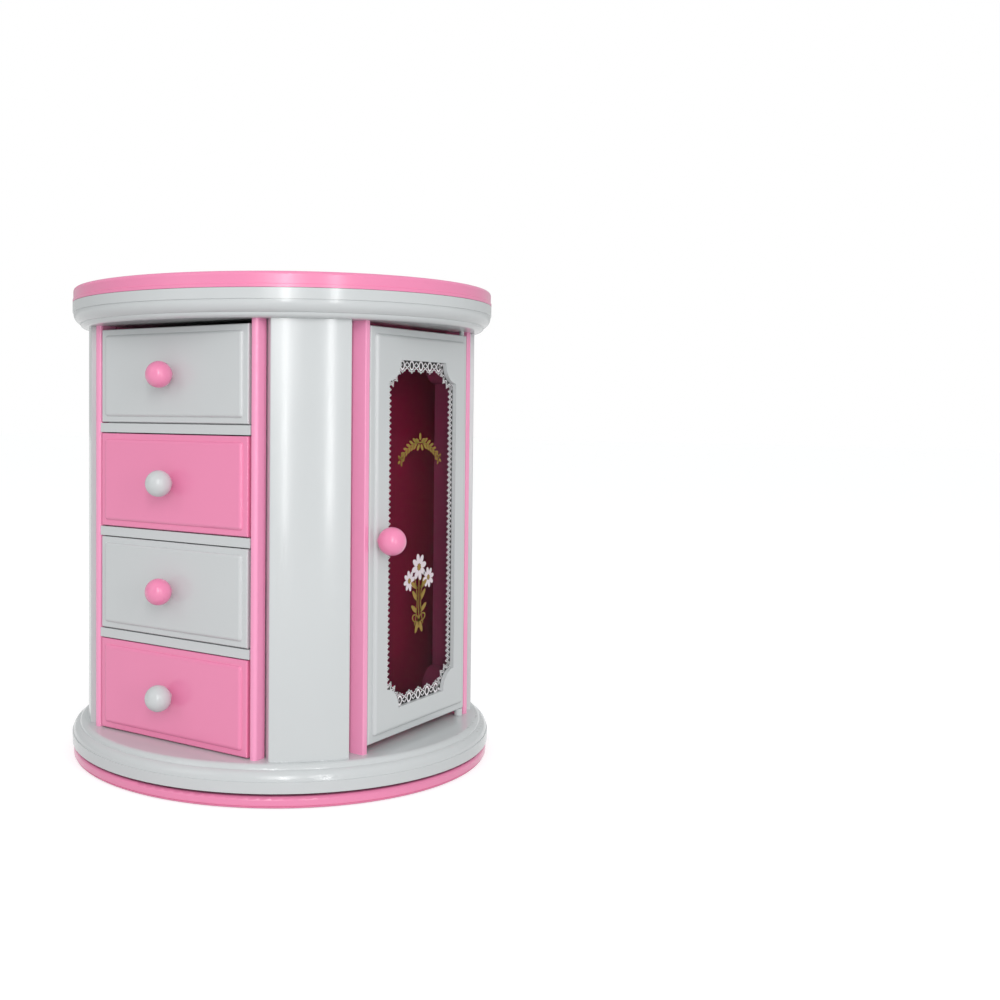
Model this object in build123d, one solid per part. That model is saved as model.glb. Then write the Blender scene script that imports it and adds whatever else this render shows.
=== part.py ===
"""Round rotating musical jewellery tower: four drawers, two glazed doors, a lift-up lid and a music movement.

Millimetres. The origin is the centre of the underside, +Z is up, the drawers face -Y and the doors face +X and -X.
The cabinet turns on the foot about Z. Everything is worked out from the driving dimensions below.
"""

import os
from math import cos, hypot, pi, radians, sin, sqrt

from build123d import *

# --- Driving dimensions: overall ---------------------------------------------------------------------------
overall_height = 220.5
body_radius = 100.6          # lid and both mouldings
foot_setback = 0.6           # the foot's rim lies this far inside the mouldings' rim
foot_height = 5.2
turntable_gap = 1.5          # open line between the foot and the turning cabinet
moulding_height_base = 11.0
moulding_height_top = 11.8
lid_height = 6.8
lid_seam = 0.15              # air between the closed lid and the top moulding
face_setback = 21.6          # from the rim in to the plane of the drawer and door edges
drawer_field_proud = 1.1     # the raised field of a drawer front stands this far out of its edge
drawer_field_inset = 2.5
door_field_proud = 1.5
door_field_inset = 3.1
field_round = 1.7            # the rounded rim of a raised field
field_corner_radius = 1.4
panel_setback = 7.6          # from the mouldings' rim in to the curved corner panels
wall = 1.8                   # common moulded wall
seat = 0.1                   # air between a loose piece and what it slides on

# --- Driving dimensions: mouldings -------------------------------------------------------------------------
fascia_base = 4.7
fascia_top = 4.5
groove = 0.4
ovolo_step = 3.1             # from the rim in to the end of the large curve
bead_step = 6.0              # from the rim in to the end of the small curve
ovolo_share_height = 2.2     # height left for the small curve
ovolo_rise = 0.75            # how far the large curve stands out of its chord
bead_rise = 0.6
deck_thickness = 2.2         # floor and ceiling decks inside the mouldings
skirt_wall = 2.4
skirt_haunch = 3.6           # the skirt thickens by this much where it meets the deck
skirt_landing = 8.0

# --- Driving dimensions: posts and fronts ------------------------------------------------------------------
drawer_front_width = 86.4
drawer_graduation = (0.2, 0.4, 0.0, -0.6)   # each front against the mean, from the top drawer down
drawer_rail_gap = 5.1        # between one front and the next
front_gap = 0.5              # air above and below a front
top_front_air = 2.0          # air between the top front and the ceiling
front_side_gap = 1.0
front_thickness = 2.6
front_edge_round = 0.6
drawer_strip_width = 3.6
drawer_strip_depth = 6.2
door_width = 82.4
door_side_gap = 0.6
door_strip_width = 3.1
door_strip_depth = 6.6
strip_undercut = 1.5
drawer_strip_nose = 1.5      # the strip beside the drawers is rounder than the one beside the door
door_strip_nose = 0.4
post_web = 2.6
panel_gap = 0.3              # dark line between a strip and the corner panel
panel_edge_round = 0.5

# --- Driving dimensions: drawers ---------------------------------------------------------------------------
tray_side_air = 1.9          # between a tray and the bay's wall
tray_wall = 1.5
tray_drop = 3.0              # the tray's rim is this much lower than its front
tray_lift = 0.4              # the front's lower edge is this much above the tray's underside
drawer_travel = 80.0
knob_diameter = 11.6
knob_reach = 8.0             # ball centre out of the edge plane
knob_neck_radius = 1.6        # thin enough to stay hidden behind the ball
knob_spigot_radius = 1.3

# --- Driving dimensions: doors -----------------------------------------------------------------------------
door_air_low = 3.3
door_air_high = 1.8
door_plate = 1.8
door_rim_depth = 4.8
door_rim_wall = 2.2
window_margin_side = 12.4
window_margin_low = 12.4
window_margin_high = 13.8
window_notch = 9.4
pane_lip = 3.0
pane_thickness = 1.3
inner_tube_depth = 8.6
inner_tube_wall = 1.6
inner_flange = 1.5
door_knob_diameter = 12.2
door_knob_rise = 87.6        # above the door's lower edge
door_knob_from_edge = 5.3
hinge_from_edge = 2.7
hinge_behind_face = 1.3
pin_radius = 1.1
pin_clearance = 0.05
pin_collar_radius = 2.0

# --- Driving dimensions: bay, compartments, back -----------------------------------------------------------
bay_wall = 1.6
bay_back_gap = 3.0           # between a closed tray and the wall behind it
rear_space = 40.4            # behind the bay's back wall
shelf_plate = 2.0
rail_depth = 3.0
rail_setback = 0.3
hook_count = 4
hook_rail_length = 62.0
hook_rail_height = 14.0
hook_rail_thickness = 2.0
hook_rail_drop = 8.9         # below the ceiling

# --- Driving dimensions: lid -------------------------------------------------------------------------------
lid_edge_round = 1.6
lid_bead = 1.3
lid_bead_step = 0.3
mirror_radius = 62.0
mirror_thickness = 1.4
lid_top_wall = 2.2
lid_recess_setback = 10.6       # the hollow under the lid's rim ends here, clear of the hinge
lid_mirror_rib = 3.0
lid_hinge_setback = 3.2      # from the rim in to the hinge axis
lid_knuckle_radius = 2.3
lid_hinge_half_width = 22.0
lid_centre_knuckle_half = 8.0
lid_pin_radius = 1.0
hinge_air = 0.3
ring_tray_setback = 11.6
ring_tray_rim = 6.0
ring_tray_base = 1.4         # the screw heads under the tray need this much
ring_tray_floor = 1.2
ring_tray_height = 6.6
ring_slot_count = 9
ring_slot_pitch = 6.0
ring_slot_width = 2.2

# --- Driving dimensions: turntable and movement ------------------------------------------------------------
foot_plate_thickness = 1.5
foot_wall = 3.0
foot_lift = 0.2              # the pads hold the foot's rim this high
foot_well_radius = 62.0
foot_well_floor = 1.0
pad_radius = 5.5
pad_height = 1.2
pad_count = 4
pad_setback = 14.0
thrust_radius = 73.0
thrust_width = 6.0
stem_radius = 1.6
barrel_radius = 11.0
barrel_low = 4.9
barrel_high = 12.4
crown_radius = 14.5
crown_thickness = 1.2
cylinder_radius = 4.2
cylinder_axis_z = 8.5
cylinder_start = 17.6
cylinder_length = 22.8
arbor_radius = 0.8
pinion_radius = 2.5
bedplate_thickness = 2.0
comb_thickness = 1.0
comb_teeth = 18
comb_tip_air = 0.25
comb_depth = 17.6
fan_axis_x = 50.0
fan_radius = 3.2
screw_shank = 0.8
screw_head = 1.9
head_air = 0.4
screw_bite = 8.0

# --- Levels and places that follow -------------------------------------------------------------------------
foot_radius = body_radius - foot_setback
panel_radius = body_radius - panel_setback
face_distance = body_radius - face_setback
landing_radius = body_radius - skirt_wall - skirt_landing
pad_circle = foot_radius - pad_setback
lid_hinge_axis_y = body_radius - lid_hinge_setback
lid_recess_radius = body_radius - lid_recess_setback
ring_tray_radius = body_radius - ring_tray_setback
base_low = foot_height + turntable_gap
deck_top = base_low + moulding_height_base
lid_low = overall_height - lid_height
ceiling_low = lid_low - moulding_height_top
deck_low = deck_top - deck_thickness
ceiling_top = ceiling_low + deck_thickness
door_low = deck_top + door_air_low
door_high = ceiling_low - door_air_high
door_knob_height = door_low + door_knob_rise
hook_rail_top = ceiling_low - hook_rail_drop
drawer_half = drawer_front_width / 2
bay_half = drawer_half + front_side_gap
door_half = door_width / 2
post_door_side = door_half + door_side_gap
door_field_plane = face_distance + door_field_proud
drawer_field_plane = face_distance + drawer_field_proud
hinge_axis = (face_distance - hinge_behind_face, door_half - hinge_from_edge)
window_half_width = door_half - window_margin_side
window_low = door_low + window_margin_low
window_high = door_high - window_margin_high
door_back = face_distance - door_rim_depth
plate_back = face_distance - door_plate
tube_back = plate_back - inner_tube_depth
tray_front = face_distance - front_thickness
bay_back_y = face_distance - rear_space
tray_back_y = bay_back_y - bay_back_gap
tray_half = bay_half - tray_side_air

panel_span = min(            # the corner panel lies where |x - y| is under this
    face_distance - drawer_strip_depth - bay_half - drawer_strip_width,
    face_distance - door_strip_depth - post_door_side - door_strip_width,
) - panel_gap


def drawer_levels():
    """(low, high) of each drawer front, from the top drawer down, filling the bay."""
    count = len(drawer_graduation)
    stack = ceiling_low - top_front_air - deck_top - front_gap
    mean = (stack - (count - 1) * drawer_rail_gap) / count
    levels = []
    low = deck_top + front_gap
    for extra in reversed(drawer_graduation):
        levels.append((low, low + mean + extra))
        low += mean + extra + drawer_rail_gap
    return levels[::-1]


# --- Small shape helpers -----------------------------------------------------------------------------------
def slab(x0, x1, y0, y1, z0, z1):
    return Pos((x0 + x1) / 2, (y0 + y1) / 2, (z0 + z1) / 2) * Box(x1 - x0, y1 - y0, z1 - z0)


def disc(radius, z0, z1, x=0.0, y=0.0):
    return Pos(x, y, (z0 + z1) / 2) * Cylinder(radius, z1 - z0)


def rod(radius, start, end):
    """A round bar from one point to another."""
    start, end = Vector(*start), Vector(*end)
    return Solid.make_cylinder(radius, (end - start).length, Plane(origin=start, z_dir=end - start))


def prism(points, z0, z1):
    """A closed outline in plan, raised from z0 to z1."""
    return Pos(0, 0, z0) * extrude(make_face(Polyline(*points, close=True)), z1 - z0)


def spun(edges):
    """A closed outline of (radius, z) edges, turned about Z."""
    return revolve(make_face([Plane.XZ * edge for edge in edges]), Axis.Z)


def chain(*points):
    """Straight edges through (radius, z) points."""
    return [Line(a, b) for a, b in zip(points, points[1:])]


def bulge(start, end, rise):
    """An arc from start to end whose middle stands out from the chord by rise."""
    (x0, z0), (x1, z1) = start, end
    length = hypot(x1 - x0, z1 - z0)
    middle = ((x0 + x1) / 2 + rise * (z1 - z0) / length, (z0 + z1) / 2 - rise * (x1 - x0) / length)
    return ThreePointArc(start, middle, end)


def one(shape):
    """The shape as its single solid."""
    solids = shape.solids()
    return solids[0] if len(solids) == 1 else Compound(children=list(solids))


def in_quadrant(shape, right, front):
    """The front-right piece as it stands in one of the four quadrants."""
    if not right:
        shape = mirror(shape, Plane.YZ)
    if not front:
        shape = mirror(shape, Plane.XZ)
    return shape


# --- Mouldings ---------------------------------------------------------------------------------------------
def moulding_ring(face_z, direction, height, fascia):
    """The stepped white ring: fascia, groove, large curve, groove and small curve, from face_z inwards."""

    def at(radius, rise):
        return (radius, face_z + direction * rise)

    ovolo_end = height - ovolo_share_height
    ovolo_radius, bead_radius = body_radius - ovolo_step, body_radius - bead_step
    outline = chain(
        at(landing_radius, height),
        at(landing_radius, height - deck_thickness),
        at(body_radius - skirt_wall - skirt_haunch, height - deck_thickness),
        at(body_radius - skirt_wall, fascia),
        at(body_radius - skirt_wall, 0.0),
        at(body_radius, 0.0),
        at(body_radius, fascia),
        at(body_radius - groove, fascia + 0.05),
        at(body_radius - groove, fascia + groove),
    )
    start = at(body_radius - groove, fascia + groove)
    outline.append(bulge(start, at(ovolo_radius, ovolo_end), ovolo_rise * direction))
    outline += chain(at(ovolo_radius, ovolo_end), at(ovolo_radius - groove, ovolo_end + 0.1))
    start = at(ovolo_radius - groove, ovolo_end + 0.1)
    outline.append(bulge(start, at(bead_radius, height), bead_rise * direction))
    outline += chain(at(bead_radius, height), at(landing_radius, height))
    return spun(outline)


def post_screw_places():
    """Where the screws enter each corner post, for the front-right post, as (x, y)."""
    (xa, ya), (xb, yb) = web_line()
    middle_shift = post_web / 2 / hypot(xb - xa, yb - ya)
    normal = (-(ya - yb) * middle_shift, -(xb - xa) * middle_shift)
    return [
        (xa + (xb - xa) * share + normal[0], -(ya + (yb - ya) * share + normal[1]))
        for share in (0.2, 0.8)
    ]


def screw_circle():
    """All eight screw places."""
    return [(x * i, y * j) for x, y in post_screw_places() for i in (1, -1) for j in (1, -1)]


def base_moulding():
    ring = moulding_ring(base_low, 1, moulding_height_base, fascia_base)
    shape = ring + disc(landing_radius + 1.0, deck_low, deck_top)
    rib = disc(thrust_radius + thrust_width / 2, base_low, deck_low)
    rib -= disc(thrust_radius - thrust_width / 2, base_low, deck_low)
    for x, y in screw_circle():
        rib -= disc(screw_head + head_air, base_low, deck_low, x, y)
    shape += rib
    for x, y in screw_circle():
        shape -= disc(screw_shank, deck_low, deck_top, x, y)
    for x, y in (hinge_axis, (-hinge_axis[0], -hinge_axis[1])):
        shape -= disc(pin_radius + pin_clearance, deck_low, deck_top, x, y)
    for x, y in bedplate_screw_places():
        shape -= disc(screw_shank, deck_low, deck_top, x, y)
    return one(shape - disc(stem_radius + 0.4, deck_low, deck_top))


def top_moulding():
    ring = moulding_ring(lid_low, -1, moulding_height_top, fascia_top)
    shape = ring + disc(landing_radius + 1.0, ceiling_low, ceiling_top)
    for x, y in screw_circle():
        shape -= disc(screw_shank, ceiling_low, ceiling_top, x, y)
    for x, y in (hinge_axis, (-hinge_axis[0], -hinge_axis[1])):
        shape -= disc(pin_radius + pin_clearance, ceiling_low, ceiling_top, x, y)
    half, air = lid_hinge_half_width, hinge_air
    axis_y, bore = lid_hinge_axis_y, lid_knuckle_radius
    block_low = lid_low - fascia_top
    shape += slab(-half, half, axis_y - bore - 2.0, axis_y + bore, block_low, lid_low) & disc(
        body_radius, block_low, lid_low
    )
    shape += rod(bore, (-half, axis_y, lid_low), (half, axis_y, lid_low))
    inner = lid_centre_knuckle_half + air
    pocket_low = lid_low - bore - air
    shape -= slab(-inner, inner, axis_y - bore - air, body_radius + 1, pocket_low, lid_low + bore + 1)
    pin = rod(lid_pin_radius, (-half, axis_y, lid_low), (half, axis_y, lid_low))
    return one(shape - pin)


# --- Foot and turntable ------------------------------------------------------------------------------------
def pad_places():
    turn = pi / pad_count
    return [
        (pad_circle * cos(2 * pi * i / pad_count + turn), pad_circle * sin(2 * pi * i / pad_count + turn))
        for i in range(pad_count)
    ]


def foot_plate():
    top = foot_height
    plate_low = top - foot_plate_thickness
    well_in = foot_well_radius - foot_wall / 2
    inner = foot_radius - foot_wall
    outline = chain(
        (inner, plate_low), (inner, foot_lift), (foot_radius - 1.2, foot_lift),
    )
    outline.append(bulge((foot_radius - 1.2, foot_lift), (foot_radius - 0.3, foot_lift + 0.9), 0.2))
    outline += chain(
        (foot_radius - 0.3, foot_lift + 0.9), (foot_radius - 0.6, foot_lift + 1.0),
        (foot_radius - 0.6, foot_lift + 1.2), (foot_radius, foot_lift + 1.4), (foot_radius, top - 1.4),
    )
    outline.append(bulge((foot_radius, top - 1.4), (foot_radius - 1.4, top), 0.4))
    outline += chain(
        (foot_radius - 1.4, top), (foot_well_radius, top), (foot_well_radius, foot_well_floor + 1.6),
        (0, foot_well_floor + 1.6), (0, foot_well_floor), (foot_well_radius + foot_wall / 2, foot_well_floor),
        (foot_well_radius + foot_wall / 2, plate_low), (inner, plate_low),
    )
    shape = spun(outline)
    for x, y in pad_places():
        shape += disc(pad_radius + 0.8, pad_height, plate_low, x, y)
    return one(shape - disc(stem_radius, foot_well_floor, foot_well_floor + 1.6))


def foot_pads():
    pad = chamfer(Cylinder(pad_radius, pad_height).edges().group_by(Axis.Z)[0], 0.3)
    return Compound(children=[Pos(x, y, pad_height / 2) * pad for x, y in pad_places()])


def thrust_ring():
    ring = disc(thrust_radius + thrust_width / 2, foot_height, base_low - seat)
    return one(ring - disc(thrust_radius - thrust_width / 2, foot_height, base_low - seat))


def winding_stem():
    shape = disc(stem_radius, foot_well_floor, deck_low + deck_thickness / 2)
    return one(shape)


def stem_nut():
    low = foot_well_floor + 1.6
    nut = Pos(0, 0, low) * extrude(RegularPolygon(3.5, 6, major_radius=False), 1.8)
    return one(nut - disc(stem_radius, low, low + 1.8))


# --- Movement ----------------------------------------------------------------------------------------------
def bearing_places():
    """x of the inner faces of the two cylinder bearings."""
    return cylinder_start - 0.6, cylinder_start + cylinder_length + 0.6


def bedplate_screw_places():
    return [(-13.0, -11.0), (-13.0, 11.0), (fan_axis_x + 8.5, -11.0), (fan_axis_x + 8.5, 11.0)]


def bedplate():
    low, high = deck_low - bedplate_thickness, deck_low
    shape = slab(-18, fan_axis_x + 13, -15, 26, low, high)
    shape = fillet(shape.edges().filter_by(Axis.Z), 4.0)
    shape -= disc(stem_radius + 0.4, low, high)
    for x, y in bedplate_screw_places():
        shape -= disc(screw_shank, low, high, x, y)
    near, far = bearing_places()
    for x0, x1 in ((near - 1.6, near), (far, far + 1.6)):
        shape += slab(x0, x1, -2.6, 2.6, cylinder_axis_z - 2.4, low)
    arbor_hole = arbor_radius + pin_clearance
    shape -= rod(arbor_hole, (near - 2, 0, cylinder_axis_z), (far + 2, 0, cylinder_axis_z))
    comb_back = cylinder_radius + comb_tip_air + comb_depth
    comb_top = cylinder_axis_z + comb_thickness / 2
    boss = slab(cylinder_start, cylinder_start + cylinder_length, comb_back - 6, comb_back, comb_top, low)
    for x in comb_screw_places():
        boss -= disc(screw_shank, comb_top, comb_top + 3.4, x, comb_back - 3)
    return one(shape + boss)


def comb_screw_places():
    return [cylinder_start + cylinder_length * share for share in (0.2, 0.8)]


def comb():
    y0 = cylinder_radius + comb_tip_air
    z0, z1 = cylinder_axis_z - comb_thickness / 2, cylinder_axis_z + comb_thickness / 2
    shape = slab(cylinder_start, cylinder_start + cylinder_length, y0, y0 + comb_depth, z0, z1)
    pitch = cylinder_length / comb_teeth
    for i in range(1, comb_teeth):
        x = cylinder_start + i * pitch
        shape -= slab(x - 0.15, x + 0.15, y0 - 1, y0 + 5.0 + 0.25 * i, z0, z1)
    for x in comb_screw_places():
        shape -= disc(screw_shank, z0, z1, x, y0 + comb_depth - 3)
    return one(shape)


def screw(x, y, seat_z, direction, bite):
    """A pan head screw: its head's underside on seat_z, its shank going along direction in Z."""
    head = disc(screw_head, *sorted((seat_z, seat_z - 1.3 * direction)), x, y)
    return one(head + disc(screw_shank, *sorted((seat_z, seat_z + bite * direction)), x, y))


def comb_screws():
    y = cylinder_radius + comb_tip_air + comb_depth - 3
    low = cylinder_axis_z - comb_thickness / 2
    return Compound(children=[screw(x, y, low, 1, comb_thickness + 3.0) for x in comb_screw_places()])


def movement_screws():
    low = deck_low - bedplate_thickness
    bite = bedplate_thickness + deck_thickness - 0.2
    return Compound(children=[screw(x, y, low, 1, bite) for x, y in bedplate_screw_places()])


def spring_barrel():
    shape = disc(barrel_radius, barrel_low, barrel_high)
    shape += disc(crown_radius, barrel_high - crown_thickness, barrel_high)
    shape = fillet(shape.edges().group_by(Axis.Z)[0], 0.6)
    return one(shape - disc(stem_radius, barrel_low, barrel_high))


def music_cylinder():
    z = cylinder_axis_z
    end = cylinder_start + cylinder_length
    near, far = bearing_places()
    shape = rod(cylinder_radius, (cylinder_start, 0, z), (end, 0, z))
    shape += rod(arbor_radius, (barrel_radius + 0.6, 0, z), (far + 3.4, 0, z))
    shape += rod(pinion_radius, (barrel_radius + 0.9, 0, z), (near - 2.0, 0, z))
    shape += rod(3.4, (far + 2.0, 0, z), (far + 3.0, 0, z))
    return one(shape)


def governor_housing():
    """A stirrup under the bedplate that carries the fan's upright spindle."""
    low, high = 4.0, deck_low - bedplate_thickness
    x0, x1 = fan_axis_x - 2.0, fan_axis_x + 6.0
    shape = slab(x0, x1, -2.6, 2.6, high - 1.2, high) + slab(x0, x1, -2.6, 2.6, low, low + 1.2)
    shape += slab(x1, x1 + 1.2, -2.6, 2.6, low, high)
    return one(shape - disc(0.5 + pin_clearance, low - 1, high - 0.3, fan_axis_x, 0))


def governor_fan():
    low, high = 4.0, deck_low - bedplate_thickness
    shape = disc(0.5, low + 0.2, high - 0.5, fan_axis_x, 0)
    shape += disc(1.0, low + 1.5, low + 4.5, fan_axis_x, 0)
    vane = slab(-fan_radius, fan_radius, -0.3, 0.3, low + 4.8, high - 1.6)
    shape += Pos(fan_axis_x, 0, 0) * (vane + Rot(0, 0, 90) * vane)
    return one(shape)


# --- Corner posts and panels -------------------------------------------------------------------------------
def web_line():
    """The outer line of a post's web in plan, as two points with both coordinates positive."""
    start = (bay_half + drawer_strip_width - strip_undercut, face_distance - drawer_strip_depth - 1.9)
    end = (face_distance - door_strip_depth - 3.0, post_door_side + door_strip_width - strip_undercut)
    return start, end


def post_outline():
    """The pink post in plan: a strip beside the drawers, a strip beside the door and the web between."""
    (xa, ya), (xb, yb) = web_line()
    length = hypot(xb - xa, yb - ya)
    nx, ny = (ya - yb) / length, (xb - xa) / length
    reach = nx * xa + ny * ya - post_web
    drawer_outer = bay_half + drawer_strip_width
    door_outer = post_door_side + door_strip_width
    return [
        (bay_half, face_distance), (drawer_outer, face_distance),
        (drawer_outer, face_distance - drawer_strip_depth), (xa, face_distance - drawer_strip_depth),
        (xa, ya), (xb, yb),
        (face_distance - door_strip_depth, yb), (face_distance - door_strip_depth, door_outer),
        (face_distance, door_outer), (face_distance, post_door_side),
        ((reach - ny * post_door_side) / nx, post_door_side), (bay_half, (reach - nx * bay_half) / ny),
    ]


def corner_post():
    shape = prism([(x, -y) for x, y in post_outline()], deck_top, ceiling_low)
    upright = shape.edges().filter_by(Axis.Z)
    shape = fillet([e for e in upright if abs(e.center().Y + face_distance) < 0.01], drawer_strip_nose)
    upright = shape.edges().filter_by(Axis.Z)
    shape = fillet([e for e in upright if abs(e.center().X - face_distance) < 0.01], door_strip_nose)
    for x, y in post_screw_places():
        shape -= disc(screw_shank, deck_top, deck_top + screw_bite, x, y)
        shape -= disc(screw_shank, ceiling_low - screw_bite, ceiling_low, x, y)
    return one(shape)


def corner_panel():
    """The white curved panel: an open-backed channel that stands on the post's web."""
    (xa, ya), (xb, yb) = web_line()
    length = hypot(xb - xa, yb - ya)
    nx, ny = (ya - yb) / length * panel_radius, (xb - xa) / length * panel_radius
    beyond_web = [(xa, -ya), (xb, -yb), (xb + nx, -yb - ny), (xa + nx, -ya - ny)]
    half = panel_span / sqrt(2)

    def band(half_width, radius):
        tall = ceiling_low - deck_top
        middle = (deck_top + ceiling_low) / 2
        box = Pos(panel_radius, 0, 0) * Box(2 * panel_radius, 2 * half_width, tall)
        return (Pos(0, 0, middle) * Rot(0, 0, -45) * box) & disc(radius, deck_top, ceiling_low)

    shell = band(half, panel_radius) & prism(beyond_web, deck_top, ceiling_low)
    shell -= band(half - wall, panel_radius - wall)
    corners = [
        edge for edge in shell.edges().filter_by(Axis.Z)
        if hypot(edge.center().X, edge.center().Y) > panel_radius - 0.01
    ]
    return one(fillet(corners, panel_edge_round))


def post_screws(z_seat, direction):
    bite = deck_thickness + screw_bite - 0.4
    return Compound(children=[screw(x, y, z_seat, direction, bite) for x, y in screw_circle()])


# --- Drawer bay --------------------------------------------------------------------------------------------
def drawer_shelf(z0, z1):
    """A shelf between two drawers with a deeper rail along its front."""
    front = -face_distance + rail_setback
    shape = slab(-bay_half, bay_half, front, bay_back_y, z1 - shelf_plate, z1)
    return one(shape + slab(-bay_half, bay_half, front, front + rail_depth, z0, z1))


def bay_side_end():
    """How far the bay's side wall runs before it meets the web of the post."""
    points = post_outline()
    (x0, y0), (x1, y1) = points[-1], points[-2]
    return y0 + (y1 - y0) * bay_wall / (x1 - x0)


def bay_side():
    end = bay_side_end()
    return one(slab(bay_half, bay_half + bay_wall, -end, end, deck_top, ceiling_low))


def bay_back():
    return one(slab(-bay_half, bay_half, bay_back_y, bay_back_y + bay_wall, deck_top, ceiling_low))


def raised_front(x0, x1, z0, z1, inset, field_plane, back):
    """A moulded front facing -Y: a plate with a raised field whose rim is rounded."""
    plate = slab(x0, x1, -face_distance, back, z0, z1)
    plate = fillet(plate.faces().sort_by(Axis.Y)[0].edges(), front_edge_round)
    field = slab(x0 + inset, x1 - inset, -field_plane, -face_distance + 1.0, z0 + inset, z1 - inset)
    field = fillet(field.edges().filter_by(Axis.Y), field_corner_radius)
    return plate + fillet(field.faces().sort_by(Axis.Y)[0].edges(), field_round)


def back_panel():
    low, high = deck_top + front_gap, ceiling_low - top_front_air
    front = raised_front(-bay_half, bay_half, low, high, drawer_field_inset, drawer_field_plane,
                         -face_distance + front_thickness)
    lips = slab(-bay_half, bay_half, -face_distance + front_thickness, -face_distance + front_thickness + 3,
                low, low + wall)
    return one(mirror(front + lips, Plane.XZ))


def hook_rail():
    """A rounded plate on the bay's side wall with upturned necklace hooks, for the right-hand door."""
    x0 = bay_half + bay_wall
    half = hook_rail_length / 2
    shape = slab(x0, x0 + hook_rail_thickness, -half, half, hook_rail_top - hook_rail_height, hook_rail_top)
    shape = fillet(shape.edges().filter_by(Axis.X), hook_rail_height * 0.42)
    pitch = hook_rail_length / hook_count
    z = hook_rail_top - hook_rail_height * 0.6
    x1 = x0 + hook_rail_thickness
    for i in range(hook_count):
        y = (i - (hook_count - 1) / 2) * pitch
        shape += rod(1.2, (x1 - 0.5, y, z), (x1 + 7.0, y, z))
        shape += Pos(x1 + 7.0, y, z) * Sphere(1.2)
        shape += rod(1.2, (x1 + 7.0, y, z), (x1 + 7.0, y, z + 5.0))
        shape += Pos(x1 + 7.0, y, z + 5.0) * Sphere(1.2)
    return one(shape)


# --- Drawers -----------------------------------------------------------------------------------------------
def drawer_front(low, high):
    shape = raised_front(-drawer_half, drawer_half, low, high, drawer_field_inset, drawer_field_plane,
                         -face_distance + front_thickness)
    hole = rod(knob_spigot_radius, (0, -drawer_field_plane - 1, (low + high) / 2),
               (0, -face_distance + front_thickness, (low + high) / 2))
    return one(shape - hole)


def drawer_tray(low, high):
    half = tray_half
    z0, z1 = low - tray_lift, high - tray_drop
    shape = slab(-half, half, -tray_front, tray_back_y, z0, z1)
    shape = fillet(shape.edges().filter_by(Axis.Z), 1.0)
    hollow = slab(-half + tray_wall, half - tray_wall, -tray_front + tray_wall, tray_back_y - tray_wall,
                  z0 + tray_wall, z1 + 1)
    return one(shape - fillet(hollow.edges().filter_by(Axis.Z), 1.2))


def knob(diameter, reach, field_plane, spigot):
    """A ball knob along -Y from the raised field at the origin's XZ, with its push-in spigot."""
    centre = -face_distance - reach
    shape = Pos(0, centre, 0) * Sphere(diameter / 2)
    shape += rod(knob_neck_radius, (0, centre, 0), (0, -field_plane, 0))
    return one(shape + rod(knob_spigot_radius, (0, centre, 0), (0, -field_plane + spigot, 0)))


# --- Doors (built for +X, the other is the same part turned half round) ------------------------------------
def window_face(grow=0.0):
    """The window's outline: a tall rectangle with a quarter-circle bite out of each corner."""
    w, n = window_half_width, window_notch
    low, high = window_low, window_high
    bite = n * sin(radians(45))
    edges = [
        Line((-w + n, low), (w - n, low)),
        ThreePointArc((w - n, low), (w - bite, low + bite), (w, low + n)),
        Line((w, low + n), (w, high - n)),
        ThreePointArc((w, high - n), (w - bite, high - bite), (w - n, high)),
        Line((w - n, high), (-w + n, high)),
        ThreePointArc((-w + n, high), (-w + bite, high - bite), (-w, high - n)),
        Line((-w, high - n), (-w, low + n)),
        ThreePointArc((-w, low + n), (-w + bite, low + bite), (-w + n, low)),
    ]
    face = make_face(edges)
    return offset(face, grow, kind=Kind.INTERSECTION) if grow else face


def window_prism(x0, x1, grow=0.0):
    """The window's outline as a solid from x0 to x1."""
    return Pos(x0, 0, 0) * extrude(Plane.YZ * window_face(grow), x1 - x0)


def door_frame():
    half = door_half
    turned = raised_front(-half, half, door_low, door_high, door_field_inset, door_field_plane, -plate_back)
    shape = Rot(0, 0, 90) * turned
    rim = slab(door_back, plate_back + 0.5, -half, half, door_low, door_high)
    w = door_rim_wall
    rim -= slab(door_back, plate_back + 0.5, -half + w, half - w, door_low + w, door_high - w)
    shape += rim
    hx, hy = hinge_axis
    shape += slab(door_back, plate_back, hy - 2.0, half, door_low, door_low + 8)
    shape += slab(door_back, plate_back, hy - 2.0, half, door_high - 8, door_high)
    shape += disc(pin_radius, door_high, ceiling_top - 0.3, hx, hy)
    shape += disc(pin_radius, deck_low + 0.3, door_low, hx, hy)
    shape += disc(pin_collar_radius, deck_top + seat, door_low, hx, hy)
    shape -= window_prism(door_back, door_field_plane + 1)
    lip = pane_lip + 0.1
    back = door_field_plane - 2.0
    shape -= slab(plate_back - 0.01, back, -window_half_width - lip, window_half_width + lip,
                  window_low - lip, window_high + lip)
    knob_y = -half + door_knob_from_edge
    return one(shape - rod(knob_spigot_radius, (plate_back, knob_y, door_knob_height),
                           (door_field_plane + 1, knob_y, door_knob_height)))


def door_window():
    front = door_field_plane - 2.0
    lip = pane_lip
    return one(slab(front - pane_thickness, front, -window_half_width - lip, window_half_width + lip,
                    window_low - lip, window_high + lip))


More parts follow.
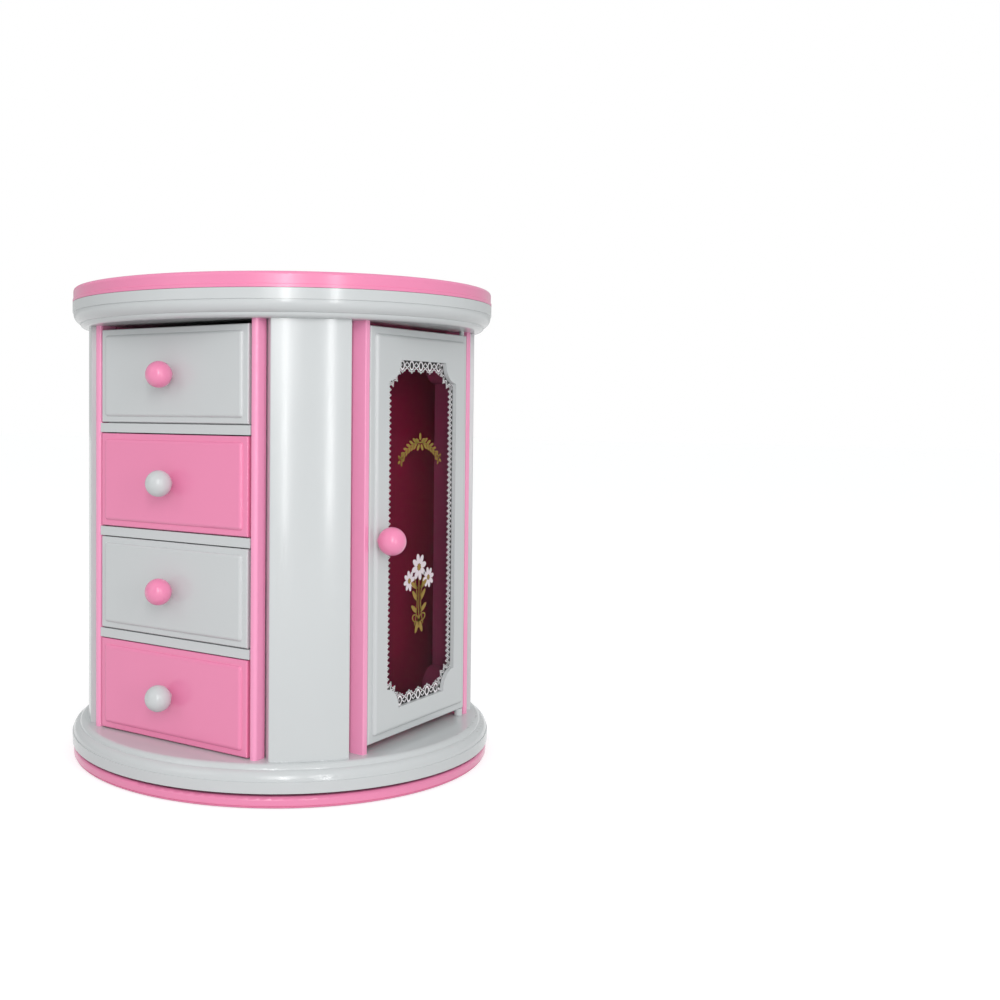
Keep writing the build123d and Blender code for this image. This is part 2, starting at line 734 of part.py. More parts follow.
def door_inner_frame():
    """The frame behind the pane: a flange inside the door's rim and a scalloped tube into the compartment."""
    half = door_half - door_rim_wall - 2 * seat
    low, high = door_low + door_rim_wall + 2 * seat, door_high - door_rim_wall - 2 * seat
    flange = slab(plate_back - inner_flange, plate_back, -half, half, low, high)
    hx, hy = hinge_axis
    for z0, z1 in ((low - 1, door_low + 8.2), (door_high - 8.2, high + 1)):
        flange -= slab(plate_back - inner_flange, plate_back, hy - 2.2, half + 1, z0, z1)
    shape = flange + window_prism(tube_back, plate_back, inner_tube_wall)
    return one(shape - window_prism(tube_back, plate_back))


def door_knob():
    spigot = door_field_proud + door_plate - 0.2
    turned = Rot(0, 0, 90) * knob(door_knob_diameter, knob_reach, door_field_plane, spigot)
    return one(Pos(0, -door_half + door_knob_from_edge, door_knob_height) * turned)


# --- Lid ---------------------------------------------------------------------------------------------------
def lid_shell():
    low, high = lid_low + lid_seam, overall_height
    step = body_radius - lid_bead_step
    outline = chain((0, low), (body_radius, low), (body_radius, low + lid_bead), (step, low + lid_bead + 0.2),
                    (step, high - lid_edge_round))
    outline.append(bulge((step, high - lid_edge_round), (step - lid_edge_round, high), 0.45))
    outline += chain((step - lid_edge_round, high), (0, high), (0, low))
    shape = spun(outline)
    half, air = lid_hinge_half_width, hinge_air
    axis_y, bore = lid_hinge_axis_y, lid_knuckle_radius
    shape -= slab(-half - air, half + air, axis_y - bore - air, body_radius + 1, low, high)
    shape -= slab(-body_radius, body_radius, axis_y - air, body_radius + 1, low, high)
    inner = lid_centre_knuckle_half
    knuckle = rod(bore, (-inner, axis_y, lid_low), (inner, axis_y, lid_low))
    knuckle += slab(-inner, inner, axis_y - bore - 1.0, axis_y, low, lid_low + bore)
    shape += knuckle
    shape -= rod(lid_pin_radius + pin_clearance, (-inner, axis_y, lid_low), (inner, axis_y, lid_low))
    shape -= disc(mirror_radius, low, low + mirror_thickness)
    shape -= disc(mirror_radius - lid_mirror_rib, low, high - lid_top_wall)
    recess = disc(lid_recess_radius, low, high - lid_top_wall)
    return one(shape - (recess - disc(mirror_radius + lid_mirror_rib, low, high)))


def lid_mirror():
    low = lid_low + lid_seam
    return one(disc(mirror_radius - seat, low, low + mirror_thickness))


def lid_hinge_pin():
    half = lid_hinge_half_width
    return one(rod(lid_pin_radius, (-half, lid_hinge_axis_y, lid_low), (half, lid_hinge_axis_y, lid_low)))


def ring_tray():
    """The velvet insert under the lid: two wells and a field of ring slots."""
    low, high = ceiling_top + ring_tray_base, ceiling_top + ring_tray_base + ring_tray_height
    shape = disc(ring_tray_radius, low, high)
    well_floor = low + ring_tray_floor
    inner = disc(ring_tray_radius - ring_tray_rim, well_floor, high)
    slots_half = ring_slot_count * ring_slot_pitch / 2 + 2.0
    for side in (-1, 1):
        well = slab(*sorted((side * slots_half, side * ring_tray_radius)), -ring_tray_radius, ring_tray_radius,
                    well_floor, high) & inner
        shape -= well
    for i in range(ring_slot_count):
        x = (i - (ring_slot_count - 1) / 2) * ring_slot_pitch
        shape -= slab(x - ring_slot_width / 2, x + ring_slot_width / 2, -62, 62, high - 4.4, high)
    for x, y in screw_circle():
        shape -= disc(screw_head + head_air, ceiling_top, low + head_air, x, y)
    return one(shape)


# --- Every piece -------------------------------------------------------------------------------------------
def all_parts():
    parts = {
        "foot_plate": foot_plate(), "foot_pads": foot_pads(), "thrust_ring": thrust_ring(),
        "winding_stem": winding_stem(), "stem_nut": stem_nut(), "spring_barrel": spring_barrel(),
        "base_moulding": base_moulding(), "top_moulding": top_moulding(),
        "floor_screws": post_screws(deck_low, 1), "ceiling_screws": post_screws(ceiling_top, -1),
        "bedplate": bedplate(), "comb": comb(), "comb_screws": comb_screws(),
        "movement_screws": movement_screws(), "governor_housing": governor_housing(),
        "music_cylinder": music_cylinder(), "governor_fan": governor_fan(),
        "bay_back": bay_back(), "back_panel": back_panel(), "ring_tray": ring_tray(),
        "lid_shell": lid_shell(), "lid_mirror": lid_mirror(), "lid_hinge_pin": lid_hinge_pin(),
    }
    post, panel = corner_post(), corner_panel()
    for end, front in (("front", True), ("rear", False)):
        for side, right in (("right", True), ("left", False)):
            parts[f"corner_post_{end}_{side}"] = in_quadrant(post, right, front)
            parts[f"corner_panel_{end}_{side}"] = in_quadrant(panel, right, front)
    levels = drawer_levels()
    for number, (low, high) in enumerate(levels, 1):
        parts[f"drawer_{number}_front"] = drawer_front(low, high)
        parts[f"drawer_{number}_tray"] = drawer_tray(low, high)
        ball = knob(knob_diameter, knob_reach, drawer_field_plane, drawer_field_proud + front_thickness)
        parts[f"drawer_{number}_knob"] = Pos(0, 0, (low + high) / 2) * ball
        if number < len(levels):
            below = levels[number][1]
            parts[f"drawer_shelf_{number}"] = drawer_shelf(below + front_gap, low - front_gap)
    door = {
        "door_frame": door_frame(), "door_window": door_window(),
        "door_inner_frame": door_inner_frame(), "door_knob": door_knob(),
    }
    fixed = {"bay_side": bay_side(), "hook_rail": hook_rail()}
    for name, shape in {**door, **fixed}.items():
        parts[f"{name}_right"] = shape
        parts[f"{name}_left"] = Rot(0, 0, 180) * shape
    return parts


os.makedirs("parts", exist_ok=True)
for node, shape in all_parts().items():
    export_step(shape, f"parts/{node}.step")
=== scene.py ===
"""A round musical jewellery tower in pink and white moulded plastic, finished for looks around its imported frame.

Sizes are written in millimetres and turned to metres by MM; places come from the frame's own pieces. The drawers
face -Y and the glazed doors face +X and -X. Every finish reads Object coordinates, metres in the part's own frame.
"""

from math import atan2, cos, pi, radians, sin

import bpy
from mathutils import Matrix, Vector


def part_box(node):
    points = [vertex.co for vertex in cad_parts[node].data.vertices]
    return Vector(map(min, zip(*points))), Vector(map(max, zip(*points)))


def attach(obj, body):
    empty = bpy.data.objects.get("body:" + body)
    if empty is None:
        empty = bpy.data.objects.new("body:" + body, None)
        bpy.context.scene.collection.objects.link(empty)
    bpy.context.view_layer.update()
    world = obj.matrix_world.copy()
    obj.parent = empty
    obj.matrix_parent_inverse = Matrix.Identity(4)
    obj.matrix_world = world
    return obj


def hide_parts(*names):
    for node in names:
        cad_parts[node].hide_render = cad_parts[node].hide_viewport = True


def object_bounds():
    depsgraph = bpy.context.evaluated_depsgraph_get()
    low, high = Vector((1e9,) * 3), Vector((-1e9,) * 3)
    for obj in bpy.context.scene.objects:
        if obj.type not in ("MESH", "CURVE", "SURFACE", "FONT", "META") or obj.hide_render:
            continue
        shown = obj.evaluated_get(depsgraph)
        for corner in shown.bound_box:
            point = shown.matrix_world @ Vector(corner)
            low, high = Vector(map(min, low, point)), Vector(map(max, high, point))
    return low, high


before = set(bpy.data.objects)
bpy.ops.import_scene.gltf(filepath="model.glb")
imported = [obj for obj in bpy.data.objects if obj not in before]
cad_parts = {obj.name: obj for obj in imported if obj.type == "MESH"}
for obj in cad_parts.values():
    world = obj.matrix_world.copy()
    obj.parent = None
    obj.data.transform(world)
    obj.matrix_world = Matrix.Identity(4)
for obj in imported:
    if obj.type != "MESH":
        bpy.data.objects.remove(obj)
cad_low, cad_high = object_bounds()

MM = 0.001

# --- Camera and studio ---------------------------------------------------------------------------------------
CAMERA_AZIMUTH = 37.974      # degrees from the drawers' side towards the right-hand door
CAMERA_DISTANCE = 587.03     # mm from the tower's axis
CAMERA_HEIGHT = 163.77       # mm above the floor
CAMERA_YAW = 2.727           # degrees to the right of the axis
CAMERA_PITCH = 1.800         # degrees down
CAMERA_ROLL = 0.397
CAMERA_LENS = 43.112         # mm on a 36 mm sensor
CAMERA_SHIFT = (0.160, -0.0513)
FLOOR_HALF = 6.0             # metres
FLOOR_GLOW = 0.60            # lifts the paper to white where it is seen, but lights nothing
SKY_FILL = 0.70
AIM = (0, 0, 0.11)           # metres; every lamp points at the middle of the tower
# name, place and size in metres, power in watts; the two narrow strips draw the panel's upright highlights
LAMPS = (
    ("left_soft_box", (-0.30, -1.10, 0.75), (0.5, 0.9), 1.15),
    ("near_soft_box", (0.70, -0.92, 0.60), (0.4, 0.9), 3.0),
    ("near_strip_light", (0.562, -0.694, 0.33), (0.035, 0.62), 1.1),
    ("right_strip_light", (0.79, -0.40, 0.33), (0.035, 0.62), 1.2),
    ("overhead_soft_box", (0.1, -0.1, 1.3), (0.9, 0.9), 0.3),
)

# --- Places read from the frame --------------------------------------------------------------------------------
LID_TOP = cad_high.z
PANE_LOW, PANE_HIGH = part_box("door_window_right")
TRAY_LOW, TRAY_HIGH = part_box("ring_tray")

# --- Moulded plastic -------------------------------------------------------------------------------------------
PINK = ("#EF8BB3", "#ED89B1")    # the colour and its flow marks
ABS_IOR = 1.53
FLOW_SIZE = 45 * MM          # broad, barely seen clouds where the melt flowed
WEAR_SIZE = 20 * MM          # soft patches where handling dulled the gloss
DUST_RASTER = 12 * MM        # at most one grain of dust in each cell this wide

# --- Lid print -------------------------------------------------------------------------------------------------
LID_PRINT_DEPTH = 0.2 * MM   # only what lies this close to the lid's top is printed
LID_RINGS = ((90.2 * MM, 91.0 * MM), (57.0 * MM, 57.6 * MM))    # inner and outer radius of the two fine rings
# how many flowers, the radius they stand on, a flower's radius, its petals, the ring's turn and the petals' colour
LID_FLOWERS = (
    (18, 78.0 * MM, 8.6 * MM, 8, 0.0, "#FBF3F8"),
    (18, 66.5 * MM, 5.2 * MM, 6, pi / 18, "#B79AD8"),
)
HEART_SHARE = 0.27           # a flower's heart as a share of its radius

# --- Window print ----------------------------------------------------------------------------------------------
PANE_LIP = 3.0 * MM          # the pane runs this far behind the frame
NOTCH = 9.4 * MM             # radius of the bite out of each corner of the window
WINDOW_HALF = (PANE_HIGH.y - PANE_LOW.y) / 2 - PANE_LIP
WINDOW_LOW, WINDOW_HIGH = PANE_LOW.z + PANE_LIP, PANE_HIGH.z - PANE_LIP
LEVEL_RUN = 2 * (WINDOW_HALF - NOTCH)                           # straight part of the top and bottom edges
UPRIGHT_RUN = WINDOW_HIGH - WINDOW_LOW - 2 * NOTCH              # straight part of the side edges
WINDOW_MIDDLE = (PANE_LOW.z + PANE_HIGH.z) / 2
INK = 0.04 * MM              # thickness of a screen-printed film
INK_LIFT = 0.005 * MM        # keeps the film clear of the pane's own face
LACE_INSET = 0.55 * MM       # the footing of the lace starts this far inside the window's edge
WIDE_LACE = (7.8 * MM, 4.9 * MM)     # pitch and height of a scallop along the top and bottom
SLIM_LACE = (2.45 * MM, 4.0 * MM)    # along the sides
BITE_LACE = (2.7 * MM, 3.4 * MM)     # round the corner bites
LACE_THREAD = 0.46 * MM      # width of a printed thread, drawn coarser than real thread so that it shows
SHADE_BAND_SHARE = 0.62          # the painted shade band under the lace reaches this share of the lace's height
GARLAND_RISE = 34.0 * MM     # the garland's middle above the window's middle
GARLAND_RADIUS = 21.0 * MM
GARLAND_DROP = -15.0 * MM    # the arch's centre below the garland's middle
GARLAND_REACH = radians(50)  # the arch runs this far to each side of its top
GARLAND_PAIRS = 6            # pairs of leaves on each side
STEM_LEAN = radians(38)      # each leaf leans this far from the stem
BOUQUET_DROP = 28.0 * MM     # the bouquet's middle below the window's middle
STEM_RADIUS = 26.0 * MM      # sweep of the two curved stems
# place along the pane, height and radius of each daisy
BLOSSOMS = [(0.0, 11.5 * MM, 6.2 * MM), (-8.2 * MM, 6.0 * MM, 4.8 * MM), (8.2 * MM, 6.0 * MM, 4.8 * MM)]

# --- Ring cushion ----------------------------------------------------------------------------------------------
ROLL_COUNT = 10
ROLL_FIELD = 54.0 * MM       # the rolls lie side by side across this width
ROLL_LENGTH = 122.0 * MM
ROLL_SHARE = 0.49            # a roll's radius as a share of the pitch, so that neighbours barely part
ROLL_RISE = 2.1 * MM         # half the height of a roll
WELL_GAP = 29.0 * MM         # half the width between the two wells
WELL_RADIUS = 83.0 * MM
TRAY_FLOOR = 1.2 * MM        # left under the wells
TROUGH_DEPTH = 4.4 * MM
TROUGH_AIR = 1.0 * MM        # the trough is this much longer than the rolls


# --- Small helpers ---------------------------------------------------------------------------------------------
def linear(hex_colour):
    """An sRGB hex colour as linear RGBA."""
    shares = [int(hex_colour[i:i + 2], 16) / 255 for i in (1, 3, 5)]
    return [c / 12.92 if c <= 0.04045 else ((c + 0.055) / 1.055) ** 2.4 for c in shares] + [1.0]


def add(tree, kind, values=None, links=None, **settings):
    """A shader node with its settings, its unlinked values and its links."""
    made = tree.nodes.new("ShaderNode" + kind)
    for name, value in settings.items():
        setattr(made, name, value)
    for name, value in (values or {}).items():
        made.inputs[name].default_value = value
    for name, socket in (links or {}).items():
        tree.links.new(socket, made.inputs[name])
    return made


def new_material(name):
    """An empty node material and its surface output."""
    material = bpy.data.materials.new(name)
    material.use_nodes = True
    material.node_tree.nodes.clear()
    return material, material.node_tree, add(material.node_tree, "OutputMaterial")


def select_only(*objects):
    """Selects these and nothing else, and makes the first one active."""
    bpy.ops.object.select_all(action="DESELECT")
    for piece in objects:
        piece.select_set(True)
    bpy.context.view_layer.objects.active = objects[0]


def edit(piece, mode="FACE"):
    """Opens one piece in edit mode with nothing selected."""
    select_only(piece)
    bpy.ops.object.mode_set(mode="EDIT")
    bpy.ops.mesh.select_mode(type=mode)
    bpy.ops.mesh.select_all(action="DESELECT")


def leave_edit():
    bpy.ops.object.mode_set(mode="OBJECT")


def apply_place(piece):
    """Puts the piece's place into its mesh, so that its object stands untransformed at the origin."""
    select_only(piece)
    bpy.ops.object.transform_apply(location=True, rotation=True, scale=True)
    return piece


def apply_modifier(piece, kind, **settings):
    """Adds one modifier with its settings and puts its result into the mesh."""
    select_only(piece)
    modifier = piece.modifiers.new(kind.title(), kind)
    for name, value in settings.items():
        setattr(modifier, name, value)
    bpy.ops.object.modifier_apply(modifier=modifier.name)
    return piece


def join(name, pieces):
    """One object of several; the first one is kept and renamed."""
    select_only(*pieces)
    bpy.ops.object.join()
    made = bpy.context.view_layer.objects.active
    made.name = name
    made.data.name = name
    return made


def copy_at(piece, matrix):
    """A copy with its own mesh, moved by matrix."""
    made = piece.copy()
    made.data = piece.data.copy()
    bpy.context.scene.collection.objects.link(made)
    made.data.transform(matrix)
    return made


def discard(*pieces):
    for piece in pieces:
        bpy.data.objects.remove(piece)


def face_outwards(piece):
    """Merges doubles, then turns every face outwards."""
    edit(piece)
    bpy.ops.mesh.select_all(action="SELECT")
    bpy.ops.mesh.remove_doubles(threshold=1e-6)
    bpy.ops.mesh.normals_make_consistent(inside=False)
    leave_edit()


# --- Finishes --------------------------------------------------------------------------------------------------
def moulded_abs(name, colour, flow_colour, roughness):
    """ABS, injection moulded in a polished tool: an even gloss, faint flow marks, a few grains of dust."""
    material, tree, output = new_material(name)
    place = add(tree, "TexCoord").outputs["Object"]
    flow = add(tree, "TexNoise", {"Scale": 1 / FLOW_SIZE, "Detail": 1.0, "Roughness": 0.4}, {"Vector": place})
    tint = add(tree, "Mix", {"A": linear(colour), "B": linear(flow_colour)}, {"Factor": flow.outputs["Fac"]},
               data_type="RGBA")
    # dust: dark grains 0.3 mm across, in two cells of five
    dust = add(tree, "TexVoronoi", {"Scale": 1 / DUST_RASTER, "Randomness": 1.0}, {"Vector": place})
    near = add(tree, "Math", {1: 0.013}, {0: dust.outputs["Distance"]}, operation="LESS_THAN")
    rare = add(tree, "SeparateColor", None, {"Color": dust.outputs["Color"]})
    chosen = add(tree, "Math", {1: 0.62}, {0: rare.outputs["Red"]}, operation="GREATER_THAN")
    grain = add(tree, "Math", None, {0: near.outputs[0], 1: chosen.outputs[0]}, operation="MULTIPLY")
    faint = add(tree, "Math", {1: 0.45}, {0: grain.outputs[0]}, operation="MULTIPLY")
    base = add(tree, "Mix", {"B": linear("#6F6A6C")}, {"Factor": faint.outputs[0], "A": tint.outputs["Result"]},
               data_type="RGBA")
    wear = add(tree, "TexNoise", {"Scale": 1 / WEAR_SIZE, "Detail": 2.0}, {"Vector": place})
    dull = add(tree, "MapRange", {"From Min": 0.3, "From Max": 0.75, "To Min": roughness - 0.01,
                                  "To Max": roughness + 0.015}, {"Value": wear.outputs["Fac"]})
    shader = add(tree, "BsdfPrincipled", {"IOR": ABS_IOR},
                 {"Base Color": base.outputs["Result"], "Roughness": dull.outputs["Result"]})
    tree.links.new(shader.outputs["BSDF"], output.inputs["Surface"])
    return material


def printed_lid():
    """The lid's pink ABS, glossy as the rest, with a pad-printed ring of daisies on its flat top."""
    material, tree, output = new_material("pad_printed_pink_abs")
    place = add(tree, "TexCoord").outputs["Object"]
    split = add(tree, "SeparateXYZ", None, {"Vector": place})
    known = {"x": split.outputs["X"], "y": split.outputs["Y"], "z": split.outputs["Z"]}
    # every line is one sum: the name of its result, what it does, then its terms, numbers or earlier names
    sums = [
        ("across", "MULTIPLY", "x", "x"),
        ("out", "MULTIPLY", "y", "y"),
        ("away", "ADD", "across", "out"),
        ("radius", "SQRT", "away"),
        ("angle", "ARCTAN2", "y", "x"),
        ("on_top", "GREATER_THAN", "z", LID_TOP - LID_PRINT_DEPTH),
    ]
    layers = []
    # two fine pale rings
    for n, (inner, outer) in enumerate(LID_RINGS):
        sums += [
            ("past_inner", "GREATER_THAN", "radius", inner),
            ("short_of_outer", "LESS_THAN", "radius", outer),
            (f"ring_{n}", "MULTIPLY", "past_inner", "short_of_outer"),
        ]
        layers.append((f"ring_{n}", "#FFF4F8"))
    # between them white and lilac daisies with yellow hearts
    for n, (count, ring, reach, petals, turn, colour) in enumerate(LID_FLOWERS):
        sums += [
            ("turned", "ADD", "angle", pi + turn),
            # the ping-pong folds the sector, so each flower is its own mirror image about its axis
            ("folded", "PINGPONG", "turned", pi / count),
            ("across", "MULTIPLY", "folded", ring),
            ("out", "SUBTRACT", "radius", ring),
            ("across_squared", "MULTIPLY", "across", "across"),
            ("out_squared", "MULTIPLY", "out", "out"),
            ("away", "ADD", "across_squared", "out_squared"),
            ("away", "SQRT", "away"),
            # the rounded lobes of the petals, seen from the flower's own middle
            ("lobes", "ARCTAN2", "across", "out"),
            ("lobes", "MULTIPLY", "lobes", petals / 2),
            ("lobes", "COSINE", "lobes"),
            ("lobes", "ABSOLUTE", "lobes"),
            ("lobes", "SQRT", "lobes"),
            ("lobes", "MULTIPLY", "lobes", 0.62),
            ("lobes", "ADD", "lobes", 0.38),
            ("edge", "MULTIPLY", "lobes", reach),
            (f"petals_{n}", "LESS_THAN", "away", "edge"),
            (f"hearts_{n}", "LESS_THAN", "away", reach * HEART_SHARE),
        ]
        layers += [(f"petals_{n}", colour), (f"hearts_{n}", "#F4C63A")]
    for name, operation, *terms in sums:
        numbers = {i: term for i, term in enumerate(terms) if not isinstance(term, str)}
        results = {i: known[term] for i, term in enumerate(terms) if isinstance(term, str)}
        known[name] = add(tree, "Math", numbers, results, operation=operation).outputs[0]

    flow = add(tree, "TexNoise", {"Scale": 1 / FLOW_SIZE, "Detail": 1.0}, {"Vector": place})
    base = add(tree, "Mix", {"A": linear(PINK[0]), "B": linear(PINK[1])}, {"Factor": flow.outputs["Fac"]},
               data_type="RGBA").outputs["Result"]
    for mask, colour in layers:
        inked = add(tree, "Math", None, {0: known[mask], 1: known["on_top"]}, operation="MULTIPLY")
        base = add(tree, "Mix", {"B": linear(colour)}, {"Factor": inked.outputs[0], "A": base},
                   data_type="RGBA").outputs["Result"]
    wear = add(tree, "TexNoise", {"Scale": 1 / WEAR_SIZE, "Detail": 2.0}, {"Vector": place})
    dull = add(tree, "MapRange", {"From Min": 0.3, "From Max": 0.75, "To Min": 0.21, "To Max": 0.25},
               {"Value": wear.outputs["Fac"]})
    shader = add(tree, "BsdfPrincipled", {"IOR": ABS_IOR},
                 {"Base Color": base, "Roughness": dull.outputs["Result"]})
    tree.links.new(shader.outputs["BSDF"], output.inputs["Surface"])
    return material


def wine_styrene():
    """Crystal styrene with a wine tint: the compartment shows through it, deep and dark, under a clear gloss.

    The IOR is set well under that of styrene, so that the thin pane bends nothing and mirrors only faintly.
    """
    material, tree, output = new_material("wine_tinted_styrene")
    place = add(tree, "TexCoord").outputs["Object"]
    cloud = add(tree, "TexNoise", {"Scale": 1 / (40 * MM), "Detail": 2.0}, {"Vector": place})
    tint = add(tree, "Mix", {"A": linear("#B6728F"), "B": linear("#BC7A97")}, {"Factor": cloud.outputs["Fac"]},
               data_type="RGBA")
    smear = add(tree, "MapRange", {"From Min": 0.35, "From Max": 0.7, "To Min": 0.01, "To Max": 0.04},
                {"Value": cloud.outputs["Fac"]})
    shader = add(tree, "BsdfPrincipled", {"IOR": 1.07, "Transmission Weight": 1.0},
                 {"Base Color": tint.outputs["Result"], "Roughness": smear.outputs["Result"]})
    tree.links.new(shader.outputs["BSDF"], output.inputs["Surface"])
    return material


def screen_ink(name, colour, dark, metallic, roughness):
    """Screen-printed ink: an even film whose dots break up very slightly at 0.5 mm."""
    material, tree, output = new_material(name)
    place = add(tree, "TexCoord").outputs["Object"]
    dots = add(tree, "TexNoise", {"Scale": 1 / (0.5 * MM), "Detail": 2.0}, {"Vector": place})
    tint = add(tree, "Mix", {"A": linear(dark), "B": linear(colour)}, {"Factor": dots.outputs["Fac"]},
               data_type="RGBA")
    shader = add(tree, "BsdfPrincipled", {"Metallic": metallic, "Roughness": roughness},
                 {"Base Color": tint.outputs["Result"]})
    tree.links.new(shader.outputs["BSDF"], output.inputs["Surface"])
    return material


def plated_metal(name, colour, dark, roughness, grain):
    """A turned or rolled metal part: a directional grain, grain mm apart, in its gloss."""
    material, tree, output = new_material(name)
    place = add(tree, "TexCoord").outputs["Object"]
    stretched = add(tree, "Mapping", {"Scale": (1.0, 1.0, 0.06)}, {"Vector": place})
    lines = add(tree, "TexNoise", {"Scale": 1 / (grain * MM), "Detail": 3.0},
                {"Vector": stretched.outputs["Vector"]})
    tint = add(tree, "Mix", {"A": linear(dark), "B": linear(colour)}, {"Factor": lines.outputs["Fac"]},
               data_type="RGBA")
    dull = add(tree, "MapRange", {"To Min": roughness - 0.08, "To Max": roughness + 0.08},
               {"Value": lines.outputs["Fac"]})
    shader = add(tree, "BsdfPrincipled", {"Metallic": 1.0},
                 {"Base Color": tint.outputs["Result"], "Roughness": dull.outputs["Result"]})
    tree.links.new(shader.outputs["BSDF"], output.inputs["Surface"])
    return material


def velvet():
    """Flocked velvet: a dense nap that pales at grazing angles and is brushed in patches about 8 mm across."""
    material, tree, output = new_material("flocked_rose_velvet")
    place = add(tree, "TexCoord").outputs["Object"]
    patches = add(tree, "TexNoise", {"Scale": 1 / (8 * MM), "Detail": 4.0}, {"Vector": place})
    pile = add(tree, "TexNoise", {"Scale": 1 / (0.45 * MM), "Detail": 3.0}, {"Vector": place})
    tint = add(tree, "Mix", {"A": linear("#8E1F4C"), "B": linear("#B43A6A")}, {"Factor": patches.outputs["Fac"]},
               data_type="RGBA")
    bump = add(tree, "Bump", {"Strength": 0.5, "Distance": 0.2 * MM}, {"Height": pile.outputs["Fac"]})
    shader = add(tree, "BsdfPrincipled", {"Roughness": 0.95, "Sheen Weight": 0.6, "Sheen Roughness": 0.4,
                                          "Sheen Tint": linear("#F2A6C4")},
                 {"Base Color": tint.outputs["Result"], "Normal": bump.outputs["Normal"]})
    tree.links.new(shader.outputs["BSDF"], output.inputs["Surface"])
    return material


def moulded_rubber():
    """Moulded black rubber: matt, with a fine spark-eroded grain 0.3 mm across."""
    material, tree, output = new_material("moulded_black_rubber")
    place = add(tree, "TexCoord").outputs["Object"]
    grain = add(tree, "TexNoise", {"Scale": 1 / (0.3 * MM), "Detail": 3.0}, {"Vector": place})
    tint = add(tree, "Mix", {"A": linear("#1B1B1C"), "B": linear("#2A2A2B")}, {"Factor": grain.outputs["Fac"]},
               data_type="RGBA")
    bump = add(tree, "Bump", {"Strength": 0.4, "Distance": 0.05 * MM}, {"Height": grain.outputs["Fac"]})
    shader = add(tree, "BsdfPrincipled", {"Roughness": 0.75},
                 {"Base Color": tint.outputs["Result"], "Normal": bump.outputs["Normal"]})
    tree.links.new(shader.outputs["BSDF"], output.inputs["Surface"])
    return material


pink_abs = moulded_abs("injection_moulded_pink_abs", *PINK, 0.19)
# painted light: the upright strips get a lighter copy of the pink, standing in for the light that falls on them
painted_light_strip_abs = moulded_abs("pink_abs_painted_lighter", "#F99FC6", "#F69DC4", 0.19)
white_abs = moulded_abs("injection_moulded_white_abs", "#CBCECF", "#C9CCCD", 0.17)
lid_abs = printed_lid()
pane_styrene = wine_styrene()
lace_ink = screen_ink("white_screen_ink", "#F7F4F6", "#EFEAED", 0.0, 0.45)
petal_ink = screen_ink("pearl_screen_ink", "#E3D6DD", "#DACBD3", 0.0, 0.45)
# black ink under the lace is painted shade, standing in for the frame's shadow gap and the dark compartment
painted_shade_ink = screen_ink("black_ink_painted_shade", "#14060C", "#0E0408", 0.0, 0.50)
gold_ink = screen_ink("gold_screen_ink", "#9C7A12", "#82640E", 0.15, 0.45)
bright_steel = plated_metal("nickel_plated_steel", "#C9C9CC", "#A9A9AD", 0.30, 0.4)
cast_zinc = plated_metal("die_cast_zinc", "#9A9CA0", "#84868A", 0.45, 0.8)
turned_brass = plated_metal("turned_brass", "#D9B25A", "#C29A45", 0.28, 0.4)
# the mirror: a metal-bright face whose gloss wavers slightly every 2 mm
silvered_glass = plated_metal("silvered_glass", "#EDF1F2", "#E6EBEC", 0.09, 2.0)
rose_velvet = velvet()
black_rubber = moulded_rubber()
white_acetal = moulded_abs("moulded_white_acetal", "#E4E4DE", "#DCDCD4", 0.42)

CORNERS = [f"{end}_{side}" for end in ("front", "rear") for side in ("right", "left")]
SIDES = ("right", "left")
FINISHES = [
    (pink_abs, "pink_abs", ["foot_plate", "bay_back", "drawer_1_knob", "drawer_3_knob"]
     + [f"{part}_{side}" for part in ("bay_side", "door_knob") for side in SIDES]
     + [f"drawer_{n}_{part}" for n in (2, 4) for part in ("front", "tray")]),
    # the strips take the lighter copy of the pink, which is painted light
    (painted_light_strip_abs, "pink_abs", [f"corner_post_{corner}" for corner in CORNERS]),
    (white_abs, "white_abs", ["base_moulding", "top_moulding", "back_panel", "drawer_2_knob", "drawer_4_knob"]
     + [f"corner_panel_{corner}" for corner in CORNERS]
     + [f"drawer_shelf_{n}" for n in (1, 2, 3)]
     + [f"{part}_{side}" for part in ("door_frame", "door_inner_frame", "hook_rail") for side in SIDES]
     + [f"drawer_{n}_{part}" for n in (1, 3) for part in ("front", "tray")]),
    (lid_abs, "pink_abs", ["lid_shell"]),
    (pane_styrene, "tinted_pane", [f"door_window_{side}" for side in SIDES]),
    (black_rubber, "rubber_pad", ["foot_pads"]),
    (white_acetal, "acetal", ["thrust_ring", "governor_fan"]),
    (bright_steel, "steel", ["winding_stem", "stem_nut", "floor_screws", "ceiling_screws", "comb_screws",
                             "movement_screws", "lid_hinge_pin", "comb", "governor_housing"]),
    (cast_zinc, "zinc", ["bedplate", "spring_barrel"]),
    (turned_brass, "brass", ["music_cylinder"]),
    (silvered_glass, "mirror_glass", ["lid_mirror"]),
    (rose_velvet, "velvet", ["ring_tray"]),
]
for finish, slot_name, names in FINISHES:
    for name in names:
        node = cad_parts[name]
        node.data.materials.clear()
        node.data.materials.append(finish)


# --- Window print: flat motifs drawn at the origin in X (along) and Y (inwards), then stood on the pane --------
def flat_ring(outer, inner, points):
    """A flat ring drawn by extruding a circle's rim inwards."""
    bpy.ops.mesh.primitive_circle_add(vertices=points, radius=outer, fill_type="NOTHING")
    ring = bpy.context.object
    edit(ring, "EDGE")
    bpy.ops.mesh.select_all(action="SELECT")
    bpy.ops.mesh.extrude_region_move()
    bpy.ops.transform.resize(value=(inner / outer, inner / outer, 1.0))
    leave_edit()
    return ring


